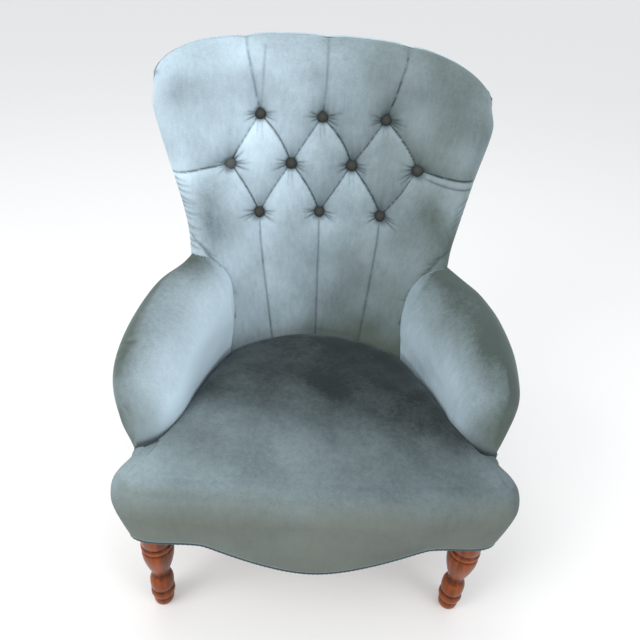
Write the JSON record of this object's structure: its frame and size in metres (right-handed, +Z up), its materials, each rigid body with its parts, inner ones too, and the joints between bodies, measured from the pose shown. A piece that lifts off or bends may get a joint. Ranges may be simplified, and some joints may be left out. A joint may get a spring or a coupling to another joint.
{
  "type": "button-back armchair",
  "caption": "Low upholstered armchair with a fan-shaped deep-buttoned back, rolled arms, a crowned seat with a serpentine front border, and turned front legs.",
  "frame": {"origin": "on the floor, under the middle of the chair's bounding box", "axes": "+Z up, the chair faces -Y, +X to the right-hand side of someone who looks at its front"},
  "size_m": [0.6876, 0.7594, 0.8919],
  "materials": {
    "velvet": "worn velvet",
    "seat_velvet": "worn velvet, pile lying darker",
    "button_velvet": "velvet-covered button",
    "turned_wood": "worn polish",
    "frame_wood": "bare",
    "jute": "coarse weave",
    "dust_cloth": "thin lining",
    "spring_steel": "wire"
  },
  "bodies": {
    "root": {"seat_pad": "seat_velvet", "inside_back": "velvet", "outside_back": "velvet", "back_hessian": "jute", "front_welt": "velvet", "front_rail": "frame_wood", "rear_rail": "frame_wood", "back_stay_rail": "frame_wood", "crest_rail": "frame_wood", "inside_arm_left": "velvet", "outside_arm_left": "velvet", "front_leg_left": "turned_wood", "back_post_left": "turned_wood", "side_rail_left": "frame_wood", "arm_rail_left": "frame_wood", "arm_stump_left": "frame_wood", "front_block_left": "frame_wood", "rear_block_left": "frame_wood", "inside_arm_right": "velvet", "outside_arm_right": "velvet", "front_leg_right": "turned_wood", "back_post_right": "turned_wood", "side_rail_right": "frame_wood", "arm_rail_right": "frame_wood", "arm_stump_right": "frame_wood", "front_block_right": "frame_wood", "rear_block_right": "frame_wood", "button_top_1": "button_velvet", "button_top_2": "button_velvet", "button_top_3": "button_velvet", "button_outer_4": "button_velvet", "button_middle_5": "button_velvet", "button_middle_6": "button_velvet", "button_outer_7": "button_velvet", "button_bottom_8": "button_velvet", "button_bottom_9": "button_velvet", "button_bottom_10": "button_velvet", "web_long_1": "jute", "web_cross_1": "jute", "web_long_2": "jute", "web_cross_2": "jute", "web_long_3": "jute", "web_cross_3": "jute", "spring_1": "spring_steel", "spring_2": "spring_steel", "spring_3": "spring_steel", "spring_4": "spring_steel", "spring_5": "spring_steel", "seat_hessian": "jute", "dust_cover": "dust_cloth"}
  },
  "joints": []
}
